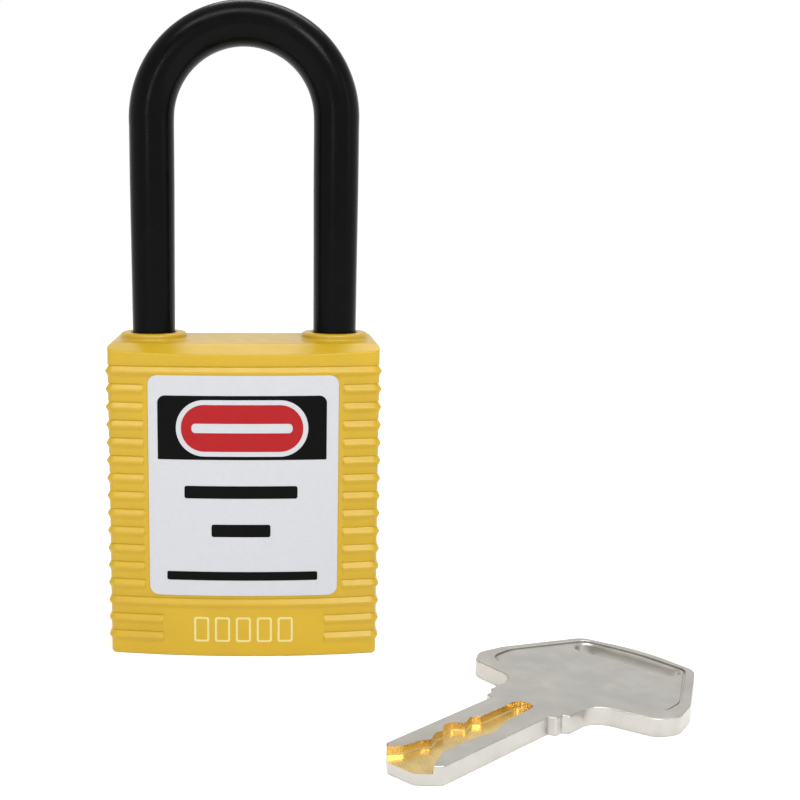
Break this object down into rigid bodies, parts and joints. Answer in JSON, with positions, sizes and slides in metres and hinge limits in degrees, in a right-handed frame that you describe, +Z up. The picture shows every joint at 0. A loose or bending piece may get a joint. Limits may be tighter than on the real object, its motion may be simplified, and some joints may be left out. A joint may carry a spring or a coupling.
{
  "type": "safety padlock",
  "caption": "Lockout padlock with a long non-conductive shackle, ribbed plastic body, key-driven scroll cam with two bolts, and its key.",
  "frame": {"origin": "centre of the padlock's base, where it stands", "axes": "+Z up along the shackle's legs, -Y towards the front label, +X to the right seen from the front"},
  "size_m": [0.0749, 0.0572, 0.0867],
  "materials": {
    "body_plastic": "moulded yellow nylon, satin",
    "shackle_nylon": "black glass-filled nylon, semi-gloss",
    "label_film": "white laminated vinyl, satin",
    "plated_steel": "zinc-plated",
    "spring_steel": "drawn wire",
    "lock_brass": "machined brass",
    "key_nickel": "nickel-plated brass, brushed"
  },
  "bodies": {
    "case": {"body_shell": "body_plastic", "bottom_cover": "body_plastic", "cover_screws": "plated_steel", "front_label": "label_film", "back_label": "label_film", "shackle_spring": "spring_steel", "bolt_guide": "plated_steel", "guide_plate": "lock_brass", "guide_screws": "plated_steel", "cylinder_housing": "lock_brass"},
    "shackle": {"shackle": "shackle_nylon", "shackle_ring": "spring_steel"},
    "left_bolt": {"bolt_left": "plated_steel", "drive_pin_left": "plated_steel"},
    "right_bolt": {"bolt_right": "plated_steel", "drive_pin_right": "plated_steel"},
    "plug": {"plug": "lock_brass", "plug_clip": "spring_steel", "scroll_cam": "lock_brass", "wafer_1": "lock_brass", "wafer_2": "lock_brass", "wafer_3": "lock_brass", "wafer_4": "lock_brass", "wafer_5": "lock_brass", "wafer_6": "lock_brass", "wafer_springs": "spring_steel", "sidebar": "lock_brass", "sidebar_springs": "spring_steel"},
    "key": {"key": "key_nickel"}
  },
  "joints": [
    {"name": "plug_turn", "type": "hinge", "parent": "case", "child": "plug", "pos_m": [0, 0, 0.0005], "axis": [0, 0, 1], "range_deg": [0, 90]},
    {"name": "shackle_lift", "type": "slide", "parent": "case", "child": "shackle", "axis": [0, 0, 1], "range_m": [0, 0.0115], "deforming": ["shackle_spring"]},
    {"name": "left_bolt_draw", "type": "slide", "parent": "case", "child": "left_bolt", "axis": [1, 0, 0], "range_m": [0, 0.0034]},
    {"name": "right_bolt_draw", "type": "slide", "parent": "case", "child": "right_bolt", "axis": [-1, 0, 0], "range_m": [0, 0.0034]},
    {"name": "key_pick_up", "type": "slide", "parent": "case", "child": "key", "axis": [0, 0, 1], "range_m": [0, 0.03]}
  ],
  "couplings": [
    {"joint": "shackle_lift", "follows": "plug_turn", "m_per_rad": 0.0073211},
    {"joint": "left_bolt_draw", "follows": "plug_turn", "m_per_rad": 0.0021645},
    {"joint": "right_bolt_draw", "follows": "plug_turn", "m_per_rad": 0.0021645}
  ]
}
